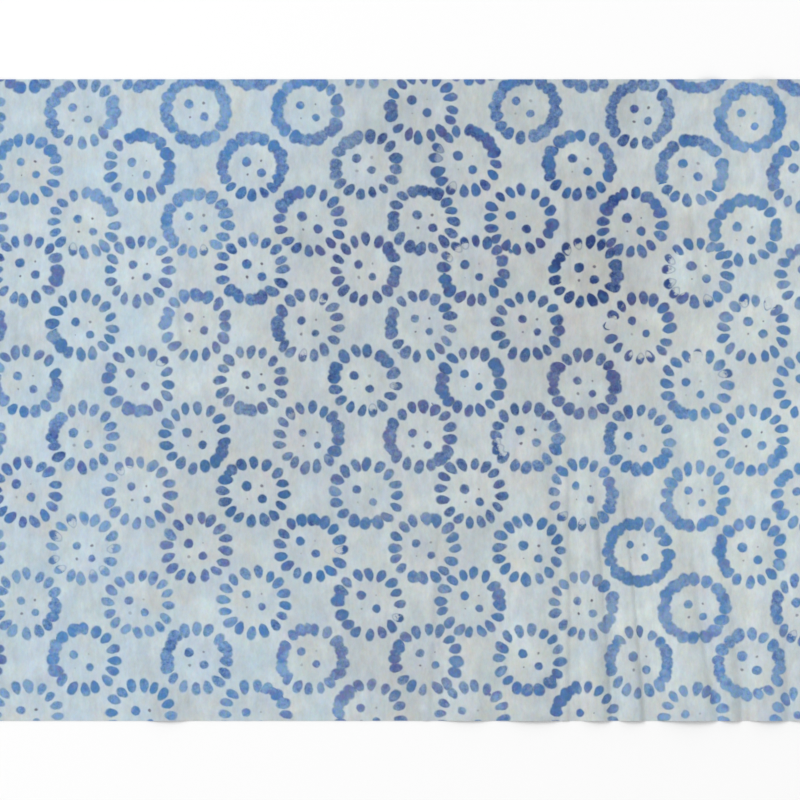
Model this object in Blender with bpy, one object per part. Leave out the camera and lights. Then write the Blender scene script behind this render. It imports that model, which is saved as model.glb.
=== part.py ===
"""A cut length of batik cloth, 300 x 240 mm, lying on a table in soft folds.

The cloth is one thin sheet. Its flat parts rest on Z = 0, and each fold is a
long low ridge where the cloth has lifted off the table. Most folds run down
the cloth (along Y) and fan out towards the right-hand half of its near edge,
where they lie side by side as flutes with narrow valleys between them.
The pattern is dyed, so nothing of it is raised.

Metres, +Z up, the origin in the middle of the underside.
"""

from collections import namedtuple

import bmesh
import bpy
import numpy as np

MM = 0.001

CLOTH_LENGTH = 300 * MM  # along X
CLOTH_WIDTH = 240 * MM  # along Y
CLOTH_THICKNESS = 1 * MM

# The sheet's mesh: narrow columns, because the folds are narrow across X, and long rows.
COLUMNS = 150
ROWS = 20

CREST_STEPS = 12  # straight stretches along one fold's crest
CREST_POWER = 4  # how sharply two ridges that overlap keep apart
FOLD_POWER = 2.4  # how flat a ridge is on top: 2 is a round one

CLOTH_COLOUR = (0.38, 0.47, 0.57, 1.0)  # pale blue-grey ground and blue dye, averaged
CLOTH_ROUGHNESS = 0.9
CLOTH_METALLIC = 0.0

# One row for each fold, in millimetres. A crest is a smooth curve through its
# head, waist and foot. The widths are foot to foot across the ridge, and the
# rises are the crest's heights. A rise of 0 is an end that dies out in flat cloth.
Fold = namedtuple(
    "Fold",
    "name head waist foot head_width foot_width head_rise waist_rise foot_rise",
)
FOLDS = (
    Fold("first_flute", (26, -42), (25, -88), (25, -126), 16, 21, 0.0, 0.8, 1.3),
    Fold("second_flute", (50, -8), (50, -62), (50, -126), 18, 25, 0.0, 1.3, 1.9),
    Fold("third_flute", (66, 8), (70, -50), (74, -126), 11, 13, 0.0, 1.3, 2.0),
    Fold("split_flute", (77, -10), (82, -60), (87, -126), 9, 12, 0.0, 1.2, 2.0),
    Fold("wide_flute", (92, 40), (98, -40), (110, -126), 16, 27, 0.0, 1.6, 2.5),
    Fold("narrow_flute", (104, 16), (117, -55), (124, -126), 8, 10, 0.0, 1.0, 1.7),
    Fold("outer_flute", (128, -14), (135, -65), (138, -126), 12, 17, 0.0, 1.3, 2.1),
    Fold("edge_flute", (147, -26), (150, -75), (151, -126), 11, 12, 0.0, 1.0, 1.6),
    Fold("long_ridge", (99, 100), (107, 60), (114, 14), 9, 8, 0.0, 1.1, 0.0),
    Fold("top_ridge", (115, 126), (118, 98), (122, 62), 11, 9, 1.1, 0.8, 0.0),
    Fold("top_corner_ridge", (136, 126), (136, 95), (135, 50), 12, 9, 1.2, 0.9, 0.0),
    Fold("upper_ridge", (58, 86), (60, 66), (61, 40), 9, 8, 0.0, 0.8, 0.0),
    Fold("middle_ridge", (20, 86), (23, 54), (26, 18), 11, 9, 0.0, 0.6, 0.0),
    Fold("left_ridge", (-87, 56), (-85, 26), (-81, -4), 10, 9, 0.0, 0.8, 0.0),
    Fold("left_edge_ridge", (-128, 8), (-129, -24), (-128, -58), 9, 8, 0.0, 0.6, 0.0),
    Fold("slanting_ridge", (-104, -80), (-97, -102), (-83, -126), 12, 15, 0.0, 1.0, 1.4),
    Fold("cross_ridge", (-130, 11), (-107, 17), (-84, 23), 9, 8, 0.0, 0.6, 0.0),
)


def crest_points(fold):
    """Points along a fold's crest, on a parabola through its head, waist and foot."""
    head, waist, foot = (np.array(place) * MM for place in (fold.head, fold.waist, fold.foot))
    share = np.linspace(0, 1, CREST_STEPS + 1)[:, None]
    bow = waist - (head + foot) / 2
    return head + (foot - head) * share + 4 * bow * share * (1 - share)


def nearest_on_crest(x, y, crest):
    """The distance from (x, y) to the crest, and where that is: 0 at its head, 1 at its foot."""
    distance = np.full(x.shape, np.inf)
    along = np.zeros(x.shape)
    for step, (start, end) in enumerate(zip(crest[:-1], crest[1:])):
        run = end - start
        share = ((x - start[0]) * run[0] + (y - start[1]) * run[1]) / (run @ run)
        share = np.clip(share, 0, 1)
        here = np.hypot(x - start[0] - share * run[0], y - start[1] - share * run[1])
        closer = here < distance
        distance = np.where(closer, here, distance)
        along = np.where(closer, (step + share) / CREST_STEPS, along)
    return distance, along


def eased(share):
    """A share from 0 to 1 that leaves 0 and reaches 1 gently."""
    return share * share * (3 - 2 * share)


def crest_rise(fold, along):
    """The crest's height, eased from head to waist and from waist to foot."""
    upper = fold.head_rise + (fold.waist_rise - fold.head_rise) * eased(np.clip(2 * along, 0, 1))
    lower = (fold.foot_rise - fold.waist_rise) * eased(np.clip(2 * along - 1, 0, 1))
    return (upper + lower) * MM


def fold_height(fold, x, y):
    """How far one fold lifts the cloth at (x, y): a broad crest, and sides that meet the table softly."""
    distance, along = nearest_on_crest(x, y, crest_points(fold))
    half_width = (fold.head_width + (fold.foot_width - fold.head_width) * along) * MM / 2
    across = np.clip(distance / half_width, 0, 1)
    return crest_rise(fold, along) * (1 - across**FOLD_POWER) ** 2


def cloth_height(x, y):
    """The underside of the cloth above the table at (x, y), from every fold together."""
    total = sum(fold_height(fold, x, y) ** CREST_POWER for fold in FOLDS)
    return total ** (1 / CREST_POWER)


def cloth_material():
    material = bpy.data.materials.new("dyed_cotton")
    material.use_nodes = True
    shader = material.node_tree.nodes["Principled BSDF"]
    shader.inputs["Base Color"].default_value = CLOTH_COLOUR
    shader.inputs["Roughness"].default_value = CLOTH_ROUGHNESS
    shader.inputs["Metallic"].default_value = CLOTH_METALLIC
    return material


def folded_sheet():
    """The cloth's underside: a flat grid, lifted point by point into its folds."""
    sheet = bmesh.new()
    bmesh.ops.create_grid(sheet, x_segments=COLUMNS, y_segments=ROWS, size=0.5)
    bmesh.ops.scale(sheet, verts=sheet.verts, vec=(CLOTH_LENGTH, CLOTH_WIDTH, 1))
    x = np.array([vert.co.x for vert in sheet.verts])
    y = np.array([vert.co.y for vert in sheet.verts])
    for vert, height in zip(sheet.verts, cloth_height(x, y)):
        vert.co.z = height
    mesh = bpy.data.meshes.new("cloth")
    sheet.to_mesh(mesh)
    sheet.free()
    mesh.shade_smooth()
    return mesh


def make_cloth():
    """The cloth itself: its underside rests on the table, and its thickness grows upwards."""
    cloth = bpy.data.objects.new("cloth", folded_sheet())
    bpy.context.collection.objects.link(cloth)
    cloth.data.materials.append(cloth_material())
    thickness = cloth.modifiers.new("thickness", "SOLIDIFY")
    thickness.thickness = CLOTH_THICKNESS
    thickness.offset = 1
    return cloth


def main():
    for leftover in list(bpy.data.objects):
        bpy.data.objects.remove(leftover, do_unlink=True)
    make_cloth()


main()
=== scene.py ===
# %% [markdown]
# # A length of batik cloth
#
# Batik is cotton whose pattern is kept out of the dye by wax. Here a hand stamp has printed hot
# wax everywhere but on small petals, sixteen to a ring, so the dye bath coloured only the petals.
# The cloth lies on a table in soft folds. This lesson builds it in three steps: the folded sheet,
# the dyed pattern as a material worked out by formula, and a soft studio light.

# %% The frame that everything is built around
import math
from collections import namedtuple

import bmesh
import bpy
import numpy as np
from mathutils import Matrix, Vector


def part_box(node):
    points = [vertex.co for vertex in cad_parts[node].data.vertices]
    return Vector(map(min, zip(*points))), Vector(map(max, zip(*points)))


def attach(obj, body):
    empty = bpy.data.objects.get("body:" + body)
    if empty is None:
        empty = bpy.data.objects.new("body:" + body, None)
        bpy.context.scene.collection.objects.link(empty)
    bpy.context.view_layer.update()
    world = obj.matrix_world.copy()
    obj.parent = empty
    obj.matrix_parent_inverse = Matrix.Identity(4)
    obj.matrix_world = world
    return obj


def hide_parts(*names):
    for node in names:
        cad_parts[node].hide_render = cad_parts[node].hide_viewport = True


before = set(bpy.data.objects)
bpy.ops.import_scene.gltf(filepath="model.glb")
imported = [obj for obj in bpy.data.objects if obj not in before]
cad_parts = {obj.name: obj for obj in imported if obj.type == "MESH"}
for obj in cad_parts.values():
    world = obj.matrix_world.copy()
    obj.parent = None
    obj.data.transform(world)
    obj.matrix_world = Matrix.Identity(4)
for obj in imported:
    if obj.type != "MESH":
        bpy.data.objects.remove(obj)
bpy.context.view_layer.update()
MM = 0.001

CLOTH_LOW, CLOTH_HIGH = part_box("cloth")
print("solid cloth, in mm:", [round(side / MM, 1) for side in CLOTH_HIGH - CLOTH_LOW])

# %% [markdown]
# ## The camera
#
# The cloth is looked at from straight above, as if it lay on a copy stand. A long lens far away
# keeps the rings round right out to the corners, where a short lens would lean them outwards.

# %% A camera straight above the cloth
CAMERA_HEIGHT = 2.0
VIEW_WIDTH = 0.2994  # a hair less than the cloth, so that its left and right edges fill the picture

camera_data = bpy.data.cameras.new("camera")
camera_data.sensor_width = 36
camera_data.lens = camera_data.sensor_width * CAMERA_HEIGHT / VIEW_WIDTH
camera = bpy.data.objects.new("camera", camera_data)
camera.location = (0, 0, CAMERA_HEIGHT)
bpy.context.collection.objects.link(camera)
bpy.context.scene.camera = camera
print("lens", round(camera_data.lens), "mm")

# %% [markdown]
# ## The folds
#
# Cloth on a table can only rise, so each fold is a low ridge. It could be draped by simulation,
# but such shallow folds are easier to list: a fold is a curve for its crest, a width and
# a height at its head, waist and foot. The wide flutes come first, and the fine creases after
# them: those stand on the flutes, or dip into them where their rise is below zero.

# %% One row for each fold, in millimetres
Fold = namedtuple(
    "Fold",
    "name head waist foot head_width foot_width head_rise waist_rise foot_rise",
)
FOLDS = (
    Fold("first_flute", (26, -42), (25, -88), (25, -126), 16, 21, 0.0, 0.8, 1.3),
    Fold("second_flute", (50, -8), (50, -62), (50, -126), 18, 25, 0.0, 1.3, 1.9),
    Fold("third_flute", (66, 8), (70, -50), (74, -126), 11, 13, 0.0, 1.3, 2.0),
    Fold("split_flute", (77, -10), (82, -60), (87, -126), 9, 12, 0.0, 1.2, 2.0),
    Fold("wide_flute", (92, 40), (98, -40), (110, -126), 16, 27, 0.0, 1.6, 2.5),
    Fold("narrow_flute", (104, 16), (117, -55), (124, -126), 8, 10, 0.0, 1.0, 1.7),
    Fold("outer_flute", (128, -14), (135, -65), (138, -126), 12, 17, 0.0, 1.3, 2.1),
    Fold("edge_flute", (147, -26), (150, -75), (151, -126), 11, 12, 0.0, 1.0, 1.6),
    Fold("long_ridge", (99, 100), (107, 60), (114, 14), 9, 8, 0.0, 1.1, 0.0),
    Fold("top_ridge", (115, 126), (118, 98), (122, 62), 11, 9, 1.1, 0.8, 0.0),
    Fold("top_corner_ridge", (136, 126), (136, 95), (135, 50), 12, 9, 1.2, 0.9, 0.0),
    Fold("upper_ridge", (58, 86), (60, 66), (61, 40), 9, 8, 0.0, 0.8, 0.0),
    Fold("middle_ridge", (20, 86), (23, 54), (26, 18), 11, 9, 0.0, 0.6, 0.0),
    Fold("left_ridge", (-87, 56), (-85, 26), (-81, -4), 10, 9, 0.0, 0.8, 0.0),
    Fold("left_edge_ridge", (-128, 8), (-129, -24), (-128, -58), 9, 8, 0.0, 0.6, 0.0),
    Fold("slanting_ridge", (-104, -80), (-97, -102), (-83, -126), 12, 15, 0.0, 1.0, 1.4),
    Fold("cross_ridge", (-130, 11), (-107, 17), (-84, 23), 9, 8, 0.0, 0.6, 0.0),
)
CREASES = (
    Fold("pinch", (61.2, 14), (61.4, -40), (61.8, -124), 4, 5, 0.0, 0.6, 0.6),
    Fold("pinch_groove", (65.2, 10), (65.8, -50), (65.4, -124), 5, 6, 0.0, -0.9, -0.9),
    Fold("split_groove", (73, -24), (76.5, -60), (81, -124), 4, 5, 0.0, -0.5, -0.7),
    Fold("split_side", (70, -20), (72.5, -50), (75, -80), 3, 3, 0.0, 0.3, 0.0),
    Fold("wide_groove", (80, 2), (86, -45), (94, -124), 4, 5.5, 0.0, -0.8, -0.8),
    Fold("wide_groove_side", (90, -40), (94.5, -80), (98.5, -120), 4, 4, 0.0, 0.35, 0.3),
    Fold("wide_twin_side", (80, -20), (85.5, -60), (89.5, -120), 3, 3, 0.0, 0.3, 0.3),
    Fold("bright_line", (101, 86), (105.5, 60), (110, 28), 3, 3, 0.0, 0.4, 0.0),
    Fold("dark_line", (95, 98), (104, 42), (107.5, 0), 3.5, 4, 0.0, -0.45, 0.0),
    Fold("dark_line_middle", (104.5, 16), (110.5, -18), (117, -52), 3.5, 4, 0.0, -0.45, 0.0),
    Fold("dark_line_foot", (109, -48), (113, -85), (119, -122), 4, 5, 0.0, -0.6, -0.6),
    Fold("outer_line", (124, -50), (128.5, -88), (129, -124), 4, 5, 0.0, -0.5, -0.5),
    Fold("edge_line", (142, -20), (144, -60), (144.5, -110), 3.5, 3.5, 0.0, -0.4, 0.0),
    Fold("first_line", (14, -30), (12, -72), (9.5, -122), 3.5, 4, 0.0, 0.45, 0.35),
    Fold("second_line", (37, -40), (40, -70), (38, -120), 3, 3, 0.0, 0.3, 0.2),
    Fold("second_twin", (41, 4), (42, -30), (41, -60), 3, 3, 0.0, 0.25, 0.0),
    Fold("slow_rise", (54, -4), (55, -50), (56, -90), 4, 4, 0.0, 0.25, 0.0),
    Fold("middle_line", (24, 80), (26, 40), (27, -20), 3, 3, 0.0, 0.25, 0.0),
    Fold("upper_line", (60, 84), (62, 60), (64, 24), 3, 3, 0.0, 0.3, 0.0),
    Fold("upper_diagonal", (103, 66), (108, 57), (113, 46), 2.5, 2.5, 0.0, 0.25, 0.0),
    Fold("corner_line", (143, 120), (142, 100), (138, 84), 3, 3, 0.2, 0.25, 0.0),
    Fold("corner_diagonal", (128, 108), (133, 96), (140, 88), 3, 3, 0.0, 0.25, 0.0),
    Fold("corner_streak", (127, 96), (129, 84), (130, 76), 3, 3, 0.0, 0.3, 0.0),
    Fold("side_line", (136, 66), (132, 40), (133, 20), 3.5, 3, 0.0, 0.3, 0.0),
    Fold("top_streak", (103, 116), (108, 104), (112, 92), 3.5, 3, 0.0, 0.3, 0.0),
    Fold("left_line", (-85, 60), (-83, 22), (-79, -10), 3, 3.5, 0.0, 0.35, 0.0),
    Fold("left_line_twin", (-75, 50), (-75, 32), (-74, 10), 3, 3, 0.0, 0.2, 0.0),
    Fold("left_streak", (-124, 11), (-104, 16), (-84, 19), 4, 4, 0.0, 0.3, 0.0),
    Fold("far_corner_line", (-152, 80), (-143, 62), (-133, 42), 4, 4, 0.3, 0.4, 0.0),
    Fold("left_edge_line", (-129, 18), (-127, 4), (-125, -8), 3, 3, 0.0, 0.3, 0.0),
    Fold("column_line", (-38.5, 80), (-38, 62), (-38, 42), 3, 3, 0.0, 0.35, 0.0),
    Fold("column_twin", (-46, 96), (-45.8, 76), (-46, 56), 3, 3, 0.0, 0.3, 0.0),
    Fold("centre_line", (-24, 98), (-23.6, 74), (-23, 50), 3, 3.5, 0.0, 0.35, 0.0),
    Fold("centre_twin", (-4, 92), (-3.8, 62), (-4.4, 34), 3, 3, 0.0, 0.3, 0.0),
    Fold("slant_line", (-102, -86), (-96, -102), (-86, -118), 3.5, 3.5, 0.0, 0.35, 0.0),
    Fold("slant_twin", (-88, -62), (-82, -72), (-77, -84), 3.5, 3.5, 0.0, 0.3, 0.0),
    Fold("short_line", (-55, 14), (-53, 4), (-50, -8), 2.5, 2.5, 0.0, 0.25, 0.0),
)
print(len(FOLDS), "main folds and", len(CREASES), "creases")

# %% [markdown]
# ## From folds to heights
#
# A fold lifts a point by how near it lies to the crest, so the crest is cut into short straight
# runs and the nearest one is found. Where two folds meet, adding them would pile up a peak that
# cloth doesn't make. A sum of high powers is close to the higher of the two, with a soft crossing.
# Creases and ripples are small enough to add as they are.

# %% The nearest place on a fold's crest
CREST_STEPS = 12


def crest_points(fold):
    """Points along a fold's crest, on a parabola through its head, waist and foot."""
    head, waist, foot = (np.array(place) * MM for place in (fold.head, fold.waist, fold.foot))
    share = np.linspace(0, 1, CREST_STEPS + 1)[:, None]
    bow = waist - (head + foot) / 2
    return head + (foot - head) * share + 4 * bow * share * (1 - share)


def nearest_on_crest(x, y, crest):
    """The distance from (x, y) to the crest, and where that is: 0 at its head, 1 at its foot."""
    distance = np.full(x.shape, np.inf)
    along = np.zeros(x.shape)
    for step, (start, end) in enumerate(zip(crest[:-1], crest[1:])):
        run = end - start
        share = ((x - start[0]) * run[0] + (y - start[1]) * run[1]) / (run @ run)
        share = np.clip(share, 0, 1)
        here = np.hypot(x - start[0] - share * run[0], y - start[1] - share * run[1])
        closer = here < distance
        distance = np.where(closer, here, distance)
        along = np.where(closer, (step + share) / CREST_STEPS, along)
    return distance, along


print("the first flute's crest has", len(crest_points(FOLDS[0])), "points")


# %% The height of a crest, from its head to its foot
def eased(share):
    """A share from 0 to 1 that leaves 0 and reaches 1 gently."""
    return share * share * (3 - 2 * share)


def crest_rise(fold, along):
    """The crest's height, eased from head to waist and from waist to foot."""
    upper = fold.head_rise + (fold.waist_rise - fold.head_rise) * eased(np.clip(2 * along, 0, 1))
    lower = (fold.foot_rise - fold.waist_rise) * eased(np.clip(2 * along - 1, 0, 1))
    return (upper + lower) * MM


highest = max(FOLDS, key=lambda fold: fold.foot_rise)
print(highest.name, "stands", round(crest_rise(highest, 1.0) / MM, 1), "mm high at its foot")

# %% Ripples that chance puts down, in millimetres
RIPPLE_HEADS_ACROSS = (-148, 148)
RIPPLE_HEADS_UP = (-100, 120)
RIPPLE_LEAN = 3
RIPPLE_LENGTHS = (14, 50)
RIPPLE_RISES = (0.05, 0.14)
RIPPLE_WIDTHS = (2.5, 6)


def random_ripples(count, seed):
    """Faint creases that run down the cloth wherever chance puts them, as in any washed cotton."""
    random = np.random.default_rng(seed)
    ripples = []
    for _ in range(count):
        x, y = random.uniform(*RIPPLE_HEADS_ACROSS), random.uniform(*RIPPLE_HEADS_UP)
        lean, bow = random.normal(0, RIPPLE_LEAN, 2)
        length = random.uniform(*RIPPLE_LENGTHS)
        rise = random.uniform(*RIPPLE_RISES)
        head, waist = (x, y), (x + lean / 2 + bow, y - length / 2)
        foot = (x + lean, y - length)
        width = random.uniform(*RIPPLE_WIDTHS)
        ripples.append(Fold("ripple", head, waist, foot, width, width, 0.0, rise, 0.0))
    return ripples


RIPPLES = random_ripples(90, seed=7)
print(len(RIPPLES), "ripples")

# %% The height of the cloth above the table
CREST_POWER = 4  # how sharply the higher of two crossing folds wins
FOLD_POWER = 2.4  # across a fold: flat on top, steep at its sides
CREASE_POWER = 2  # across a crease, which is rounder


def fold_height(fold, x, y, across_power):
    """How far one fold lifts the cloth at (x, y). A high power gives a flat top and steep sides."""
    distance, along = nearest_on_crest(x, y, crest_points(fold))
    half_width = (fold.head_width + (fold.foot_width - fold.head_width) * along) * MM / 2
    across = np.clip(distance / half_width, 0, 1)
    return crest_rise(fold, along) * (1 - across**across_power) ** 2


def cloth_height(x, y):
    """The underside of the cloth above the table at (x, y), from every fold and crease together."""
    folds = sum(fold_height(fold, x, y, FOLD_POWER) ** CREST_POWER for fold in FOLDS)
    creases = sum(fold_height(crease, x, y, CREASE_POWER) for crease in CREASES)
    ripples = sum(fold_height(ripple, x, y, CREASE_POWER) for ripple in RIPPLES)
    return np.maximum(folds ** (1 / CREST_POWER) + creases + ripples, 0)


# %% [markdown]
# ## The sheet
#
# The sheet starts as a flat grid and each point is lifted to its height. Most folds run along Y,
# so the grid has many narrow columns and few rows. A modifier then gives the cotton its
# thickness. The dye has to follow the cloth and not the table, so the sheet gets a UV map that
# unrolls it. Distances along each row are measured over the folds and then shared out over the
# cloth's length, so that every row ends at the cloth's edge.

# %% Lift a grid into folds
COLUMNS = 480
ROWS = 96
CLOTH_SIZE = [round(side, 3) for side in (CLOTH_HIGH - CLOTH_LOW)[:2]]  # to the millimetre


def lifted_grid():
    """A bmesh grid of the cloth's size, each point at its height in the folds."""
    sheet = bmesh.new()
    bmesh.ops.create_grid(sheet, x_segments=COLUMNS, y_segments=ROWS, size=0.5)
    bmesh.ops.scale(sheet, verts=sheet.verts, vec=(*CLOTH_SIZE, 1))
    x = np.array([vert.co.x for vert in sheet.verts])
    y = np.array([vert.co.y for vert in sheet.verts])
    for vert, height in zip(sheet.verts, cloth_height(x, y)):
        vert.co.z = height
    return sheet


sheet = lifted_grid()
highest_point = max(vert.co.z for vert in sheet.verts)
print("grid:", len(sheet.verts), "points, highest", round(highest_point / MM, 2), "mm")


# %% Unroll it
def unrolled(sheet):
    """Each point's place on the flat cloth, in metres from its middle."""
    places = np.array([vert.co for vert in sheet.verts])
    by_row = np.lexsort((places[:, 0], np.round(places[:, 1], 6))).reshape(ROWS + 1, COLUMNS + 1)
    rows = places[by_row]
    steps = np.linalg.norm(np.diff(rows, axis=1), axis=2)
    lengths = np.concatenate([np.zeros((ROWS + 1, 1)), np.cumsum(steps, axis=1)], axis=1)
    flat_length = lengths[:, -1].max()
    flat = np.zeros((len(places), 2))
    flat[by_row.ravel(), 0] = ((lengths / lengths[:, -1:] - 0.5) * CLOTH_SIZE[0]).ravel()
    flat[:, 1] = places[:, 1]
    return flat, flat_length


flat_places, FLAT_LENGTH = unrolled(sheet)
cloth_map = sheet.loops.layers.uv.new("flat_cloth")
for face in sheet.faces:
    for loop in face.loops:
        loop[cloth_map].uv = flat_places[loop.vert.index]
print("flat length", round(FLAT_LENGTH / MM, 2), "mm")

# %% The cloth, with its thickness
CLOTH_THICKNESS = 0.35 * MM

for edge in sheet.edges:
    edge.smooth = not edge.is_boundary
cloth_mesh = bpy.data.meshes.new("batik_cloth")
sheet.to_mesh(cloth_mesh)
sheet.free()
cloth_mesh.shade_smooth()
cloth = bpy.data.objects.new("batik_cloth", cloth_mesh)
bpy.context.collection.objects.link(cloth)
thickness = cloth.modifiers.new("thickness", "SOLIDIFY")
thickness.thickness = CLOTH_THICKNESS
thickness.offset = 1
print("cloth:", len(cloth_mesh.polygons), "faces")

# %% [markdown]
# ## Soft patches over the cloth
#
# No formula knows where things went a little wrong in the making: where dye crept under cracked
# wax and joined the petals, where wax ran over a petal and washed it out, where the dye is deep,
# thin or muted, and where the ground is warm, pale, dull or stained. Each of these is a table of
# round soft patches, painted onto the sheet's points as an attribute, which costs the material
# next to nothing to look up. The first table is long, about a row for each run of joined petals,
# because it gives this cloth its look more than anything else does. The others are short.

# %% Where dye crept under the wax, in millimetres from the cloth's middle
Patch = namedtuple("Patch", "x y radius amount")  # what each row of these tables holds
CREPT_DYE = (
    (-138, 118, 9, 0.8),
    (-95, 118, 8, 0.8),
    (-55, 118, 9, 1.0),
    (26, 118, 7, 0.6),
    (67, 118, 9, 1.0),
    (110, 117, 11, 1.1),
    (146, 117, 9, 1.0),
    (-128, 111, 8, 0.9),
    (-107, 108, 7, 0.9),
    (-76, 109, 15, 1.1),
    (-45, 108, 8, 0.9),
    (-34, 120, 8, 0.8),
    (-24, 108, 8, 0.7),
    (-34, 98, 7, 0.8),
    (-132, 96, 6, 0.6),
    (-148, 96, 6, 0.7),
    (-97, 99, 8, 0.9),
    (-87, 88, 7, 0.8),
    (-66, 90, 8, 0.8),
    (-55, 99, 8, 0.9),
    (-45, 89, 7, 0.7),
    (-24, 88, 7, 0.7),
    (33, 99, 9, 0.8),
    (46, 116, 13, 0.9),
    (55, 103, 8, 0.9),
    (55, 90, 7, 0.9),
    (60, 98, 7, 0.8),
    (78, 89, 7, 0.9),
    (79, 108, 9, 1.0),
    (90, 120, 9, 0.8),
    (101, 107, 8, 0.8),
    (98, 89, 8, 1.0),
    (112, 97, 10, 1.0),
    (120, 84, 7, 0.8),
    (131, 106, 15, 1.1),
    (140, 87, 8, 0.9),
    (-112, 76, 7, 0.5),
    (-87, 68, 8, 0.9),
    (-76, 79, 8, 0.8),
    (-66, 70, 6, 0.4),
    (-42, 76, 7, 0.7),
    (8, 79, 8, 1.0),
    (-18, 99, 7, 0.8),
    (-3, 88, 5, 0.7),
    (-4, 107, 5, 0.6),
    (-3, 67, 5, 0.7),
    (-5, 56, 5, 0.9),
    (-3, 44, 5, 0.8),
    (5, 57, 4, 0.8),
    (56, 66, 5, 0.7),
    (79, 73, 7, 0.7),
    (94, 74, 7, 0.8),
    (119, 68, 8, 0.9),
    (130, 77, 9, 0.8),
    (140, 65, 7, 0.6),
    (-129, 48, 6, 0.6),
    (-57, 40, 7, 1.0),
    (-77, 38, 4, 0.8),
    (16, 44, 6, 0.8),
    (38, 52, 7, 0.7),
    (58, 49, 7, 0.4),
    (80, 48, 7, 0.5),
    (150, 50, 7, 0.7),
    (-127, 23, 6, 0.9),
    (-149, 27, 5, 0.8),
    (-88, 29, 6, 0.6),
    (-65, 27, 6, 0.75),
    (-45, 28, 6, 0.8),
    (14, 38, 7, 0.6),
    (60, 26, 6, 0.7),
    (99, 34, 7, 0.5),
    (123, 36, 7, 0.5),
    (-140, 7, 8, 0.9),
    (-151, 3, 7, 0.7),
    (-129, 4, 5, 0.8),
    (-138, -3, 4, 0.8),
    (-128, -10, 6, 1.0),
    (-148, -14, 5, 0.8),
    (-109, 5, 7, 0.5),
    (-98, -3, 6, 0.9),
    (-57, -4, 5, 0.9),
    (-23, 9, 6, 0.8),
    (-4, 28, 5, 0.8),
    (-4, 14, 6, 0.8),
    (16, 4, 8, 0.9),
    (38, 9, 8, 0.9),
    (58, 8, 7, 0.8),
    (79, 4, 8, 0.9),
    (61, -1, 6, 0.7),
    (105, -3, 5, 0.9),
    (-70, -21, 7, 0.7),
    (-25, -14, 7, 0.8),
    (-2, -14, 7, 0.9),
    (15, -20, 5, 1.0),
    (37, -15, 6, 0.5),
    (59, -13, 6, 0.8),
    (49, -26, 6, 0.6),
    (79, -14, 7, 0.6),
    (95, -25, 7, 0.8),
    (138, -24, 9, 0.9),
    (143, -29, 5, 0.8),
    (-64, -26, 5, 0.7),
    (-13, -43, 7, 0.8),
    (11, -43, 4, 0.9),
    (6, -67, 4, 0.9),
    (37, -76, 5, 0.7),
    (-36, -86, 4, 0.7),
    (-20, -86, 4, 0.9),
    (-24, -34, 6, 0.5),
    (80, -35, 7, 0.8),
    (109, -42, 12, 0.9),
    (140, -36, 7, 0.6),
    (-34, -46, 6, 0.7),
    (80, -50, 8, 1.0),
    (97, -63, 7, 0.9),
    (89, -66, 10, 1.0),
    (120, -58, 8, 0.9),
    (123, -49, 7, 0.9),
    (142, -57, 6, 0.5),
    (-130, -77, 6, 0.6),
    (-97, -84, 6, 0.4),
    (-24, -77, 6, 0.7),
    (79, -77, 8, 0.9),
    (110, -78, 15, 0.9),
    (140, -79, 7, 0.9),
    (-130, -98, 7, 0.9),
    (-123, -88, 6, 0.8),
    (-88, -97, 7, 0.9),
    (-84, -90, 6, 0.8),
    (-65, -95, 5, 0.8),
    (-46, -97, 7, 0.8),
    (-25, -99, 7, 0.9),
    (-3, -94, 6, 0.9),
    (19, -97, 6, 0.6),
    (50, -106, 8, 0.8),
    (78, -97, 7, 0.8),
    (99, -98, 8, 0.8),
    (128, -102, 12, 0.9),
    (122, -90, 8, 0.9),
    (143, -95, 6, 0.9),
    (-48, -112, 6, 0.7),
    (-20, -112, 7, 0.8),
    (30, -112, 6, 0.5),
    (62, -112, 6, 0.7),
    (140, -119, 7, 0.7),
)
print(len(CREPT_DYE), "patches of crept dye")

# %% Where wax ran over the petals
# An amount well past 1 leaves hardly anything of a petal.
WASHED_PETALS = (
    (99, 52, 7, 1.0),
    (103, 43, 6, 1.0),
    (112, 38, 6, 0.8),
    (91, 70, 5, 0.8),
    (81, 37, 5, 0.8),
    (90, 14, 6, 0.9),
    (66, 58, 6, 0.9),
    (22, 55, 6, 0.8),
    (-19, 52, 6, 0.7),
    (-102, -30, 6, 0.8),
    (-120, -55, 15, 0.85),
    (-77, -66, 5, 0.65),
    (-56, -32, 6, 0.8),
    (131, -78, 3, 1.6),
    (126, 36, 6, 0.8),
    (79, 28, 3, 1.6),
    (111, 16, 3, 1.6),
    (139, 37, 3, 1.6),
    (-38, 19, 6, 0.6),
    (-14, 17, 6, 0.55),
    (-9, -2, 5, 0.6),
    (-42, -5, 5, 0.7),
    (-25, -5, 4, 0.6),
    (36, -18, 5, 0.9),
    (0, 39, 5, 0.6),
    (-29, 39, 4, 0.7),
    (22, -25, 5, 0.6),
    (-85, 33, 5, 0.6),
    (-72, 38, 5, 0.7),
    (-78, -4, 7, 0.6),
    (-89, 15, 4, 0.7),
)
print(len(WASHED_PETALS), "patches of washed petals")

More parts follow.
